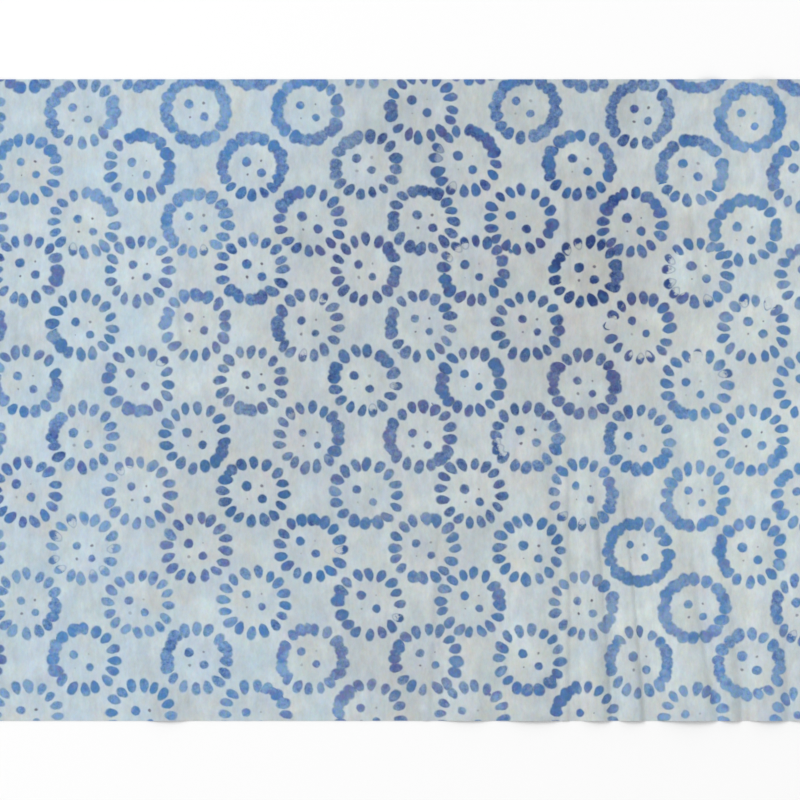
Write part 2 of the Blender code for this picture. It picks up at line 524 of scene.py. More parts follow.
# %% Where the dye is deep, thin or muted
DEEP_DYE = (
    (62, 50, 48, 0.95),
    (30, 75, 50, 0.6),
    (80, 15, 36, 0.5),
    (0, 20, 60, 0.6),
    (-25, 70, 45, 0.35),
    (60, -20, 50, 0.25),
    (52, 110, 38, 0.55),
    (-30, -40, 50, 0.35),
    (25, -85, 50, 0.3),
    (85, -65, 40, 0.25),
    (-140, 45, 40, 0.2),
    (86, 102, 14, 0.45),
    (-35, -121, 16, 0.3),
    (50, -122, 24, 0.8),
    (-10, -122, 20, 0.35),
    (94, 99, 16, 0.35),
    (54, 102, 16, 0.35),
    (-130, 40, 30, 0.25),
)
THIN_DYE = (
    (130, 62, 22, 0.8),
    (130, 10, 34, 0.5),
    (94, 62, 14, 0.6),
    (-94, 8, 24, 0.45),
    (-56, 99, 14, 0.5),
    (94, -88, 20, 0.7),
    (20, -88, 16, 0.5),
    (130, -50, 22, 0.45),
    (132, -112, 16, 0.4),
)
MUTED_DYE = (
    (0, 90, 32, 0.75),
    (60, 30, 50, 0.85),
    (0, 30, 50, 0.75),
    (-50, -10, 48, 0.7),
    (10, -30, 45, 0.65),
    (0, -90, 32, 0.65),
    (120, 40, 45, 0.45),
    (60, -72, 50, 0.5),
    (-115, 25, 30, 0.4),
    (75, 95, 42, 0.5),
)
print(len(DEEP_DYE + THIN_DYE + MUTED_DYE), "patches of dye")

# %% Where the ground is warm, pale, dull or stained
WARM_GROUND = (
    (75, 45, 62, 1.0),
    (40, 85, 60, 0.8),
    (0, 30, 70, 0.65),
    (110, -20, 70, 0.8),
    (40, -70, 80, 0.75),
    (-30, -30, 60, 0.5),
    (-62, -32, 36, 0.55),
    (125, 80, 50, 0.6),
    (110, -90, 60, 0.65),
)
PALE_GROUND = (
    (130, -35, 40, 0.9),
    (110, -80, 45, 0.6),
    (140, 70, 40, 0.6),
    (135, 20, 40, 0.65),
    (60, -95, 45, 0.45),
    (-76, 20, 22, 0.45),
    (-110, 55, 26, 0.35),
    (-40, 82, 16, 0.15),
    (20, -20, 30, 0.3),
    (74, -26, 16, 0.45),
    (104, 88, 18, 0.3),
    (-12, -66, 18, 0.35),
    (-62, -78, 14, 0.25),
    (-64, 52, 12, 0.4),
    (-28, -116, 10, 0.3),
    (125, -104, 14, 0.35),
)
DULL_GROUND = (
    (-9, 110, 14, 0.8),
    (47, 110, 11, 0.6),
    (84, 112, 11, 0.6),
    (-38, 70, 16, 0.6),
    (-132, 70, 14, 0.35),
    (28, 36, 12, 0.5),
    (122, 14, 13, 0.5),
    (28, -42, 12, 0.45),
    (-132, -68, 18, 0.45),
    (42, -117, 18, 0.9),
    (-5, -27, 12, 0.45),
)
STAINED_GROUND = (
    (76, 40, 18, 0.8),
    (72, 62, 12, 0.5),
    (-140, 24, 13, 0.5),
    (-84, -116, 11, 0.6),
    (9, -117, 12, 0.5),
    (60, -114, 12, 0.6),
    (86, -42, 12, 0.45),
    (86, 111, 10, 0.5),
    (-84, -46, 10, 0.4),
)
print(len(WARM_GROUND + PALE_GROUND + DULL_GROUND + STAINED_GROUND), "patches of ground")

# %% Paint the patches onto the sheet
PATCH_REACH = 1.5  # in radii: a patch is full up to half its radius and gone at this many


def soft_patches(patches, x, y):
    """The strongest of some round patches at (x, y), each full in its middle and fading outwards."""
    strongest = np.zeros(x.shape)
    for patch in (Patch(*row) for row in patches):
        away = np.hypot(x - patch.x * MM, y - patch.y * MM) / (patch.radius * MM)
        strength = patch.amount * eased(np.clip(PATCH_REACH - away, 0, 1))
        strongest = np.maximum(strongest, strength)
    return strongest


def paint(mesh, name, values):
    """Keeps one number for each point of the mesh, for the material to read by name."""
    mesh.attributes.new(name, "FLOAT", "POINT").data.foreach_set("value", values)


points = np.array([vert.co for vert in cloth_mesh.vertices])
PAINTED = {
    "crept_dye": CREPT_DYE,
    "washed": WASHED_PETALS,
    "deep_dye": DEEP_DYE,
    "thin_dye": THIN_DYE,
    "muted_dye": MUTED_DYE,
    "warm_ground": WARM_GROUND,
    "pale_ground": PALE_GROUND,
    "dull_ground": DULL_GROUND,
    "stained_ground": STAINED_GROUND,
}
for name, patches in PAINTED.items():
    amounts = soft_patches(patches, points[:, 0], points[:, 1])
    paint(cloth_mesh, name, amounts.astype(np.float32))
    print(name, "mean", round(float(amounts.mean()), 2))

# %% [markdown]
# ## Shader maths as plain Python
#
# A pattern worked out by formula needs hundreds of Math nodes. Wiring them by hand is slow and
# hard to read, so one small class wraps a node's output and turns + - * / < > into those nodes.
# Colours and vectors go through Mix and Vector Math nodes instead, which keep their parts apart.


# %% A wire between shader nodes
class Wire:
    """One output of a shader node. Arithmetic on wires adds the Math nodes that work it out."""

    tree = None  # the node tree that new nodes join

    def __init__(self, socket):
        self.socket = socket

    @classmethod
    def node(cls, kind, settings=None, inputs=None, output=0):
        """A new node: its settings first, then the numbers or wires of its sockets."""
        made = cls.tree.nodes.new(kind)
        for name, value in (settings or {}).items():
            setattr(made, name, value)
        for name, value in (inputs or {}).items():
            if isinstance(value, Wire):
                cls.tree.links.new(value.socket, made.inputs[name])
            else:
                made.inputs[name].default_value = value
        return cls(made.outputs[output])

    @classmethod
    def math(cls, operation, *values):
        return cls.node("ShaderNodeMath", {"operation": operation}, dict(enumerate(values)))

    @classmethod
    def vector(cls, operation, *values, output=0):
        return cls.node(
            "ShaderNodeVectorMath", {"operation": operation}, dict(enumerate(values)), output
        )

    def __add__(self, other):
        return Wire.math("ADD", self, other)

    def __radd__(self, other):
        return Wire.math("ADD", other, self)

    def __sub__(self, other):
        return Wire.math("SUBTRACT", self, other)

    def __rsub__(self, other):
        return Wire.math("SUBTRACT", other, self)

    def __mul__(self, other):
        return Wire.math("MULTIPLY", self, other)

    def __rmul__(self, other):
        return Wire.math("MULTIPLY", other, self)

    def __truediv__(self, other):
        return Wire.math("DIVIDE", self, other)

    def __lt__(self, other):
        return Wire.math("LESS_THAN", self, other)

    def __gt__(self, other):
        return Wire.math("GREATER_THAN", self, other)


# %% Helpers for numbers
def smallest(one, other):
    return Wire.math("MINIMUM", one, other)


def largest(one, other):
    return Wire.math("MAXIMUM", one, other)


def clamped(value):
    return Wire.node("ShaderNodeClamp", None, {"Value": value})


def ramp(value, start, end):
    """0 before start and 1 after end, with a soft climb between them. It runs either way."""
    return Wire.node(
        "ShaderNodeMapRange",
        {"interpolation_type": "SMOOTHSTEP"},
        {"Value": value, "From Min": start, "From Max": end},
    )


def mix(share, one, other):
    """A number between one and other."""
    return Wire.node("ShaderNodeMix", {"data_type": "FLOAT"}, {0: share, 2: one, 3: other})


# %% Helpers for vectors and colours
def mix_vector(share, one, other):
    return Wire.node("ShaderNodeMix", {"data_type": "VECTOR"}, {0: share, 4: one, 5: other}, 1)


def mix_colour(share, one, other, blend="MIX"):
    settings = {"data_type": "RGBA", "blend_type": blend}
    return Wire.node("ShaderNodeMix", settings, {0: share, 6: one, 7: other}, 2)


def scaled(vector, factor):
    return Wire.node("ShaderNodeVectorMath", {"operation": "SCALE"}, {0: vector, "Scale": factor})


def joined(*numbers):
    """A vector made of two or three numbers."""
    return Wire.node("ShaderNodeCombineXYZ", None, dict(enumerate(numbers)))


def parts(vector):
    """The three numbers of a vector."""
    made = Wire.node("ShaderNodeSeparateXYZ", None, {0: vector})
    return tuple(Wire(made.socket.node.outputs[axis]) for axis in range(3))


def srgb(red, green, blue):
    """A screen colour, each part out of 255, as the linear colour that shaders use."""
    shares = [part / 255 for part in (red, green, blue)]
    linear = [part / 12.92 if part <= 0.04045 else ((part + 0.055) / 1.055) ** 2.4 for part in shares]
    return (*linear, 1.0)


# %% Painted numbers, chance and noise
def stored(name):
    """A number painted on the mesh's points."""
    return Wire.node("ShaderNodeAttribute", {"attribute_name": name}, None, "Fac")


def chance(cell, seed):
    """Three numbers from 0 to 1, always the same for the same cell and seed."""
    made = Wire.node("ShaderNodeTexWhiteNoise", {"noise_dimensions": "4D"}, {"Vector": cell, "W": seed})
    return parts(Wire(made.socket.node.outputs["Color"]))


def cloudy(place, size, detail=2.0, output="Fac", roughness=0.5):
    """Soft noise whose lumps are about size millimetres across."""
    settings = {"noise_dimensions": "3D"}
    inputs = {"Vector": place, "Scale": 1 / size, "Detail": detail, "Roughness": roughness}
    return Wire.node("ShaderNodeTexNoise", settings, inputs, output)


# %% A count to print after each step
def count_nodes(added):
    """Prints how many nodes the material has by now."""
    print(len(Wire.tree.nodes), "nodes with", added)


# %% [markdown]
# ## Where the stamp was pressed
#
# The wax stamp, a block about as wide as a hand, was pressed down four times here. Inside one
# print the rings stand on an even lattice, but the prints don't quite line up: each has its own
# place and tilt, and where two meet the rings crowd together. The lattice's cells are squares
# standing on a corner, so a grid turned by 45 degrees finds the nearest ring by rounding. Each
# point of the cloth asks all four prints for their nearest ring and keeps the closest two, because
# petals of two prints may overlap where the prints meet.

# %% The material that holds the pattern, and its places in millimetres
dyed_cotton = bpy.data.materials.new("dyed_cotton")
dyed_cotton.use_nodes = True
Wire.tree = dyed_cotton.node_tree
shader = Wire.tree.nodes["Principled BSDF"]

unrolled_place = Wire.node("ShaderNodeUVMap", {"uv_map": "flat_cloth"})
cloth_mm = scaled(unrolled_place, 1 / MM)

ROWS_STRETCH = 1.014  # the rings' rows stand a little closer than their columns
HALF = (0.5, 0.5, 0.5)  # the middle of a noise's colour
SHAKY_LUMPS = 2.4  # small lumps that make the petals' outlines uneven
SHAKY_REACH = (0.75, 0.75, 0)
PULLED_LUMPS = 30  # wide lumps where the cloth was pulled under the stamp
PULLED_REACH = (2.4, 2.4, 0)

shaky = Wire.vector("SUBTRACT", cloudy(cloth_mm, SHAKY_LUMPS, 1.0, "Color"), HALF)
pulled = Wire.vector("SUBTRACT", cloudy(cloth_mm, PULLED_LUMPS, 0.0, "Color"), HALF)
pattern_mm = Wire.vector("MULTIPLY", cloth_mm, (1, ROWS_STRETCH, 0))
pattern_mm = Wire.vector("MULTIPLY_ADD", shaky, SHAKY_REACH, pattern_mm)
pattern_mm = Wire.vector("MULTIPLY_ADD", pulled, PULLED_REACH, pattern_mm)
count_nodes("the place in the pattern")

# %% Four prints of one stamp
RING_STEP = 42.2  # from ring to ring along a row
CELL = RING_STEP / math.sqrt(2)
CELL_TURN = 45  # degrees

# An anchor ring's place, the print's tilt in degrees, and how many half-steps it reaches from the
# anchor: rightwards (leftwards if negative) and upwards (downwards if negative).
Print = namedtuple("Print", "x y tilt reach_across reach_up")
PRINTS = (
    Print(-76.6, 108.3, 0.6, 4, -2),
    Print(88.8, 107.5, -2.6, -3, -2),
    Print(-76.5, 27.9, -0.1, 4, 1),
    Print(90.1, 26.8, -0.9, -3, 1),
)
print(len(PRINTS), "prints, rings", RING_STEP, "mm apart")

# %% One print's nearest ring
OUT_OF_REACH = 100.0  # added to a ring's distance where its print doesn't reach, in cells

Ring = namedtuple("Ring", "gap way cell")


def nearest_ring(stamped, number):
    """How far off a print's nearest ring is, the way from its centre, and its cell."""
    inputs = {
        "Vector": pattern_mm,
        "Location": (stamped.x, stamped.y * ROWS_STRETCH, 0),
        "Rotation": (0, 0, math.radians(CELL_TURN + stamped.tilt)),
        "Scale": (CELL, CELL, 1),
    }
    grid = Wire.node("ShaderNodeMapping", {"vector_type": "TEXTURE"}, inputs)
    cell = Wire.vector("FLOOR", Wire.vector("ADD", grid, (0.5, 0.5, 0)))
    way = Wire.vector("SUBTRACT", grid, cell)
    side = math.copysign(1, stamped.reach_across)
    end = math.copysign(1, stamped.reach_up)
    across = Wire.vector("DOT_PRODUCT", cell, (side, -side, 0), output=1)
    up = Wire.vector("DOT_PRODUCT", cell, (end, end, 0), output=1)
    beyond = largest(across - abs(stamped.reach_across), up - abs(stamped.reach_up)) > 0.5
    gap = Wire.vector("LENGTH", way, output=1) + beyond * OUT_OF_REACH
    return Ring(gap, way, Wire.vector("ADD", cell, (0, 0, number)))


# %% The two nearest rings of all
def chosen_ring(pick, swap, one, other):
    """One of two rings: the gap that pick takes, and the way and cell that swap says."""
    way = mix_vector(swap, one.way, other.way)
    return Ring(pick(one.gap, other.gap), way, mix_vector(swap, one.cell, other.cell))


def nearer_ring(one, other):
    return chosen_ring(smallest, other.gap < one.gap, one, other)


def further_ring(one, other):
    return chosen_ring(largest, other.gap > one.gap, one, other)


rings = [nearest_ring(stamped, number) for number, stamped in enumerate(PRINTS)]
nearest, second = nearer_ring(*rings[:2]), further_ring(*rings[:2])
for ring in rings[2:]:
    second = nearer_ring(second, further_ring(nearest, ring))
    nearest = nearer_ring(nearest, ring)
count_nodes("the rings")

# %% [markdown]
# ## Petals
#
# Round a ring the angle is cut into sixteen equal steps. A point lies between two petals, so only
# those two are worked out. A petal is an egg with its narrow end inwards, shifted, leaned and
# sized a little by chance, as petals of bent copper strip are. Where dye crept through the wax the
# petals are wider, and a bridge fills the gap between the two. A smooth minimum melts the shapes
# into one.

# %% How far the dye crept, and a point's place in its ring
PETALS = 16
RING_RADIUS = 11.3  # to the petals' middles
PETAL_LONG = 2.58  # half of a petal's length
PETAL_WIDE = 1.69  # half of its width
FIRST_PETAL = 86  # degrees, a little clockwise of straight up
CREPT_WIDER = 0.34  # how much wider a petal is where the dye crept
CREPT_STRENGTH = 1.2  # of the painted patches
CREPT_LUMPS = 18  # chance adds lumps of this size
CREPT_LUCK = 0.8

crept_by_chance = (cloudy(cloth_mm, CREPT_LUMPS, 1.0) - 0.5) * CREPT_LUCK
crept = stored("crept_dye") * CREPT_STRENGTH + crept_by_chance
petal_width = (clamped(crept) * CREPT_WIDER + 1) * PETAL_WIDE
turned_back = {"Rotation": (0, 0, math.radians(CELL_TURN)), "Scale": (CELL, CELL, 1)}


def millimetres_from(ring):
    """The way from a ring's centre to the point, in millimetres and square with the cloth."""
    return Wire.node("ShaderNodeMapping", None, {"Vector": ring.way, **turned_back})


def seat(number):
    """A petal's place round the ring, from 0 to 15, however the count runs."""
    return Wire.math("FLOORED_MODULO", number, PETALS)


# %% One petal
SHIFT_ROUND = 0.24  # how far apart chance may put two petals, in steps round the ring
SHIFT_OUT = 0.7  # the same outwards, in millimetres
LEAN = 0.4
SIZE_SPREAD = 0.2
EGG = 0.2  # how much wider an egg is towards its outer end
EDGE_SCALE = 2.0  # turns the egg's own measure back into about a millimetre

# Each use of chance has its own run of seeds, as long as a ring has petals.
PLACE_SEEDS = 1
LOOK_SEEDS = 31
GAP_SEEDS = 61

Petal = namedtuple("Petal", "edge place look")


def petal(cell, number, past, radius, step_width):
    """A petal's distance to its edge, negative inside, and its own place and chances."""
    place_chance = chance(cell, seat(number) + PLACE_SEEDS)
    look_chance = chance(cell, seat(number) + LOOK_SEEDS)
    out = radius - RING_RADIUS - (place_chance[1] - 0.5) * SHIFT_OUT
    across = (past - (place_chance[0] - 0.5) * SHIFT_ROUND) * step_width
    across = across + out * ((place_chance[2] - 0.5) * LEAN)
    long_share = out / PETAL_LONG
    wide_share = across / ((long_share * EGG + 1) * petal_width)
    egg = Wire.math("SQRT", long_share * long_share + wide_share * wide_share)
    size = (look_chance[0] - 0.5) * SIZE_SPREAD + 1
    place = joined(long_share, wide_share)
    look = joined(*look_chance)
    return Petal((egg - size) * EDGE_SCALE, place, look)


# %% Two petals melted into one shape
SEAM = 0.9  # half the width of the seam where one petal's look turns into the other's


def melted(one, other, reach):
    """Two petals as one shape, each with its own look up to the seam between them."""
    edge = Wire.math("SMOOTH_MIN", one.edge, other.edge, reach)
    share = ramp(one.edge - other.edge, -SEAM, SEAM)
    place = mix_vector(share, one.place, other.place)
    return Petal(edge, place, mix_vector(share, one.look, other.look))


# %% The bridge between two petals
BRIDGE_WIDE = 1.6  # half of its width round the ring
BRIDGE_SHORT = 0.5  # half of its length at the least
BRIDGE_GROWTH = 1.7  # added to that where the most dye crept
BRIDGE_SHIFT = 0.7
BRIDGE_SCALE = 1.4  # turns the oval's own measure back into about a millimetre
CREEPING_SCALE = 1.2
SIDES_EASIER = 0.2  # gaps at a ring's left and right fill more easily
EVEN_SIDE = 0.6
GAP_LUCK = 0.9
GAP_HURDLE = 0.2
OPEN_BELOW = 0.64  # a gap stays open where its bridge is smaller than this
FILLED_ABOVE = 0.74
OPENED_BY = 2  # millimetres that put a bridge's edge out of reach where its gap stays open


def bridge(cell, number, past, radius, step_width, sideways):
    """A bridge's distance to its edge. Where no dye crept it lies far outside."""
    gap_chance = chance(cell, seat(number) + GAP_SEEDS)
    side_help = (sideways - EVEN_SIDE) * SIDES_EASIER
    creeping = crept + side_help + (gap_chance[0] - 0.5) * GAP_LUCK - GAP_HURDLE
    size = clamped(creeping * CREEPING_SCALE)
    out = radius - RING_RADIUS - (gap_chance[1] - 0.5) * BRIDGE_SHIFT
    long_share = out / (size * BRIDGE_GROWTH + BRIDGE_SHORT)
    wide_share = (past - 0.5) * step_width / BRIDGE_WIDE
    oval = Wire.math("SQRT", long_share * long_share + wide_share * wide_share)
    return (oval - 1) * BRIDGE_SCALE + ramp(size, FILLED_ABOVE, OPEN_BELOW) * OPENED_BY


# %% All of a ring's petals
RING_SEED = 0.5
RING_TURN = 0.3  # how far apart chance may turn two rings, in steps round the ring
PETALS_MELT = 0.8  # how softly two petals run together, in millimetres
BRIDGES_MELT = 0.5
OVERLAP_SOFT = 0.5
FAR_OUTSIDE = 9  # added to the edge of a ring that no print reaches


def ring_petals(ring):
    """The shape and look of a ring's petals, and how deeply two of them overlap."""
    ring_turn = (chance(ring.cell, RING_SEED)[0] - 0.5) * RING_TURN
    way = millimetres_from(ring)
    way_x, way_y, _ = parts(way)
    radius = Wire.vector("LENGTH", way, output=1)
    angle = Wire.math("ARCTAN2", way_y, way_x)
    first = PETALS - FIRST_PETAL / (360 / PETALS)
    steps_round = angle * (PETALS / math.tau) + first + ring_turn
    number = Wire.math("FLOOR", steps_round)
    past = steps_round - number
    step_width = radius * (math.tau / PETALS)
    sideways = Wire.math("ABSOLUTE", way_x / radius)
    before = petal(ring.cell, number, past, radius, step_width)
    after = petal(ring.cell, number + 1, past - 1, radius, step_width)
    overlap = ramp(largest(before.edge, after.edge), OVERLAP_SOFT, -OVERLAP_SOFT)
    both = melted(before, after, PETALS_MELT)
    bridge_edge = bridge(ring.cell, number, past, radius, step_width, sideways)
    unprinted = (ring.gap > OUT_OF_REACH / 2) * FAR_OUTSIDE
    edge = Wire.math("SMOOTH_MIN", both.edge, bridge_edge, BRIDGES_MELT) + unprinted
    return Petal(edge, both.place, both.look), overlap


# %% The petals of both rings
RINGS_MELT = 0.2
RINGS_OVERLAP_SOFT = 0.3

nearest_petals, nearest_overlap = ring_petals(nearest)
second_petals, second_overlap = ring_petals(second)
petals = melted(nearest_petals, second_petals, RINGS_MELT)
own_long = parts(petals.place)[0]
look = parts(petals.look)
inside_both = largest(nearest_petals.edge, second_petals.edge)
overlap = largest(
    mix(second_petals.edge < nearest_petals.edge, nearest_overlap, second_overlap),
    ramp(inside_both, RINGS_OVERLAP_SOFT, -RINGS_OVERLAP_SOFT),
)
count_nodes("the petals")

# %% [markdown]
# ## Dots in the middle of each ring
#
# Each ring holds two bold dots and two pin dots, one at each corner of a small square that isn't
# quite even. Chance moves the four together, a little off the ring's middle. The pins barely held
# the wax back, so their dots are small and grey, and stronger in one ring than in the next.

# %% Bold dots and pin dots
Dot = namedtuple("Dot", "x y radius")
BOLD_DOTS = (Dot(-2.8, 2.1, 1.75), Dot(2.8, -2.6, 1.6))
PIN_DOTS = (Dot(2.7, 2.3, 0.6), Dot(-2.6, -2.8, 0.6))
RING_LOOK_SEED = 90.5
DOTS_SHIFT = 2.0  # how far apart chance may put two rings' dots, in millimetres
BOLD_SPREAD = 0.4
PIN_SHRINK = 0.4

ring_chance = chance(nearest.cell, RING_SEED)
ring_look = chance(nearest.cell, RING_LOOK_SEED)
unprinted = nearest.gap > OUT_OF_REACH / 2
dot_shift = joined((ring_chance[1] - 0.5) * DOTS_SHIFT, (ring_chance[2] - 0.5) * DOTS_SHIFT)
dot_place = Wire.vector("SUBTRACT", millimetres_from(nearest), dot_shift)


def dot_edge(dot):
    return Wire.vector("DISTANCE", dot_place, (dot.x, dot.y, 0), output=1) - dot.radius


bold_edge = smallest(*(dot_edge(dot) for dot in BOLD_DOTS)) - (ring_look[0] - 0.5) * BOLD_SPREAD
pin_edges = [dot_edge(dot) for dot in PIN_DOTS]
pin_shrinks = (ring_look[1] * PIN_SHRINK, ring_look[2] * PIN_SHRINK)
pin_edge = smallest(pin_edges[0] + pin_shrinks[0], pin_edges[1] + pin_shrinks[1])
edge = smallest(petals.edge, bold_edge + unprinted * FAR_OUTSIDE)
count_nodes("the dots")

# %% [markdown]
# ## Colour
#
# The dye is not one blue. It is paler where the bath was short, deeper in the middle of the
# cloth, and it drifts between teal and violet inside a single petal. Along a petal's edge it is
# greyer, just past the edge it bleeds out thin and pale, and where two petals overlap it is
# deeper. So one number is worked out for the depth of the dye and two for its hue, each a sum of
# painted patches, chance and noise, and they choose between five blues.

# %% The dye's blues, and where there is dye
EDGE_INSIDE = -0.42  # the dye starts to fade here, in millimetres from a petal's edge
EDGE_OUTSIDE = 0.38
RIM_INSIDE = -0.7  # a petal's rim begins here, and is full at the next
RIM_OUTSIDE = -0.1
JOINED = 1.6  # how soon a petal counts as joined to the next where the dye crept
SPOT_LUMPS = 1.6  # noise in lumps of three sizes, in millimetres
DRIFT_LUMPS = 4.5
REGION_LUMPS = 15
PALE_DYE = srgb(120, 153, 191)
MID_DYE = srgb(86, 120, 168)
DARK_DYE = srgb(40, 70, 132)
VIOLET_DYE = srgb(88, 97, 156)
TEAL_DYE = srgb(66, 120, 176)
BLED_DYE = srgb(118, 164, 214)  # thin dye that crept out past an edge

dyed = 1 - ramp(edge, EDGE_INSIDE, EDGE_OUTSIDE)
watery = cloudy(cloth_mm, SPOT_LUMPS, 3.0, roughness=0.65)
drift = parts(cloudy(cloth_mm, DRIFT_LUMPS, 2.0, "Color"))
regions = parts(cloudy(cloth_mm, REGION_LUMPS, 2.0, "Color"))
alone = 1 - clamped(crept * JOINED)
rim = ramp(edge, RIM_INSIDE, RIM_OUTSIDE)

# %% How deep the dye is, from 0 for pale to 1 for dark
DEEP_PATCHES, PALE_PATCHES, THIN_PATCHES = 0.7, 0.3, 0.55
PETAL_LUCK, RING_LUCK = 0.34, 0.45
SPOTS, REGIONS = 1.8, 1.4
THIN_RIM, TWICE_DYED = 0.08, 0.2
USUAL_DEPTH = 0.18

depth = (
    stored("deep_dye") * DEEP_PATCHES
    - stored("pale_ground") * PALE_PATCHES
    - stored("thin_dye") * THIN_PATCHES
    + (look[1] - 0.5) * PETAL_LUCK
    + (ring_look[0] - 0.5) * RING_LUCK
    + (watery - 0.5) * SPOTS
    - rim * alone * THIN_RIM
    + overlap * alone * TWICE_DYED
    + (regions[0] - 0.5) * REGIONS
    + USUAL_DEPTH
)
dye_colour = mix_colour(clamped(depth * 2), PALE_DYE, MID_DYE)
dye_colour = mix_colour(clamped(depth * 2 - 1), dye_colour, DARK_DYE)

# %% How violet and how teal it is
PETAL_HUE_LUCK, RING_HUE_LUCK = 0.16, 0.25
VIOLET_IN_DEEP, TEAL_IN_PALE, TEAL_IN_THIN = 0.08, 0.1, 0.05
HUE_FROM, HUE_FULL = 0.45, 0.75
MOST_VIOLET, MOST_TEAL = 0.62, 0.7

violet = (
    drift[0]
    + (look[2] - 0.5) * PETAL_HUE_LUCK
    + (ring_look[1] - 0.5) * RING_HUE_LUCK
    + stored("deep_dye") * VIOLET_IN_DEEP
)
teal = (
    drift[1]
    + (look[1] - 0.5) * PETAL_HUE_LUCK
    + (ring_look[2] - 0.5) * RING_HUE_LUCK
    + stored("pale_ground") * TEAL_IN_PALE
    + stored("thin_dye") * TEAL_IN_THIN
)
dye_colour = mix_colour(ramp(violet, HUE_FROM, HUE_FULL) * MOST_VIOLET, dye_colour, VIOLET_DYE)
dye_colour = mix_colour(ramp(teal, HUE_FROM, HUE_FULL) * MOST_TEAL, dye_colour, TEAL_DYE)
count_nodes("the dye")

# %% [markdown]
# ## Washed petals
#
# In some petals wax ran in from the ring's middle and left only a dark outer end, with a thin
# outline round a pale hollow. Painted patches say where most of these are, and chance adds a few
# more where no dye crept. The hollow is made by taking dye away, so the ground shows through it.

# %% Washed petals
WASHED_LUCK = 0.5
WASHED_FROM, WASHED_FULL = 0.95, 1.05
MISSED_FROM, MISSED_FULL = 1.1, 1.3
STRAY_FROM, STRAY_FULL = 0.975, 0.985  # chance this high washes a petal with no patch near
LITTLE_CREPT = 0.4
# These two count halves of a petal's length, outwards from its middle.
PETALS_BEGIN = -2  # anything further in is a dot
HOLLOW_FROM, HOLLOW_FULL = 0.3, -0.4
RAGGED = 1.8
OUTLINE_KEPT = 0.45
WASHED_AWAY, MISSED_AWAY = 0.92, 0.93
DARK_END = 0.45

washed = ramp(look[2] * WASHED_LUCK + stored("washed"), WASHED_FROM, WASHED_FULL)
missed = ramp(stored("washed"), MISSED_FROM, MISSED_FULL)
stray = ramp(look[2], STRAY_FROM, STRAY_FULL) * (crept < LITTLE_CREPT)
washed = largest(washed, stray) * (own_long > PETALS_BEGIN)
inner_end = ramp(own_long + (watery - 0.5) * RAGGED, HOLLOW_FROM, HOLLOW_FULL)
hollow = washed * inner_end * (1 - rim * OUTLINE_KEPT)
dyed = dyed * (1 - hollow * WASHED_AWAY) * (1 - missed * MISSED_AWAY)
dye_colour = mix_colour(washed * DARK_END, dye_colour, DARK_DYE)
count_nodes("the washed petals")

# %% [markdown]
# ## The ground
#
# Cloth that has been through wax and dye is never plain white. Its ground runs from cool to warm,
# with paler, duller and stained places. Faint streaks along the threads are painted shade, which
# stands in for the shading of fine wrinkles.
# The wide changes mix one colour into another. The fine ones multiply the result by numbers close
# to 1, so that they work the same on every colour.

# %% The ground's colours
COOL_COLOUR = srgb(178, 193, 202)
WARM_COLOUR = srgb(176, 182, 183)
PINK_COLOUR = srgb(184, 188, 190)
PALE_COLOUR = srgb(203, 213, 213)
DULL_COLOUR = srgb(148, 159, 163)
STAIN_COLOUR = srgb(164, 160, 153)
MOST_PINK = 0.7
PINK_FROM, PINK_FULL = 0.5, 0.75
RAGGED_PATCH = 0.8
PATCH_FROM, PATCH_FULL = 0.15, 0.85
MOST_DULL = 0.34
MOST_PALE = 0.5
PALE_FROM, PALE_FULL = 0.45, 0.7
PALE_BY_CHANCE = 0.3
LONG_LUMPS = (1, 0.62, 1)  # noise read on a squeezed Y has lumps that are long in Y
MOTTLE_LUMPS = 11

along_threads = Wire.vector("MULTIPLY", cloth_mm, LONG_LUMPS)
mottle = parts(cloudy(along_threads, MOTTLE_LUMPS, 5.0, "Color", roughness=0.9))
ground = mix_colour(stored("warm_ground"), COOL_COLOUR, WARM_COLOUR)
ground = mix_colour(ramp(regions[1], PINK_FROM, PINK_FULL) * MOST_PINK, ground, PINK_COLOUR)
for name, patch_colour in (("dull_ground", DULL_COLOUR), ("stained_ground", STAIN_COLOUR)):
    ragged = stored(name) + (mottle[2] - 0.5) * RAGGED_PATCH
    ground = mix_colour(ramp(ragged, PATCH_FROM, PATCH_FULL) * MOST_DULL, ground, patch_colour)
pale_by_chance = ramp(regions[2], PALE_FROM, PALE_FULL) * PALE_BY_CHANCE
ground = mix_colour(stored("pale_ground") * MOST_PALE + pale_by_chance, ground, PALE_COLOUR)
count_nodes("the ground's colours")

# %% The ground's mottling and grain, and its painted shade of fine wrinkles
ONE = (1, 1, 1)
WARMER = (0.32, 0.0, -0.44)  # more red and less blue
GREENER = (-0.07, 0.14, -0.07)
FINE_GRAIN = (0.26, 0.2, 0.26)
GRAIN_LUMPS = 1.1
VERY_LONG_LUMPS = (1, 0.38, 1)
STREAK_LUMPS = 2.8
WARM_REGIONS = 0.15
EVEN_WARMTH = 0.575  # the mean of what the warmth is made of
MOTTLE_SHADE = 0.46
# how strongly the painted shade of fine wrinkles darkens and lightens the ground
STREAK_SHADE = 0.3

grain = cloudy(along_threads, GRAIN_LUMPS, 2.0, "Color", roughness=0.7)
grain = Wire.vector("SUBTRACT", grain, HALF)
very_long = Wire.vector("MULTIPLY", cloth_mm, VERY_LONG_LUMPS)
# Long in Y: painted shade that stands in for the shading of fine wrinkles
painted_wrinkle_streaks = cloudy(very_long, STREAK_LUMPS, 2.0, roughness=0.7)
warmth = mottle[0] + regions[1] * WARM_REGIONS - EVEN_WARMTH
tint = Wire.vector("ADD", scaled(WARMER, warmth), ONE)
tint = Wire.vector("ADD", scaled(GREENER, mottle[2] - 0.5), tint)
tint = Wire.vector("MULTIPLY_ADD", grain, FINE_GRAIN, tint)
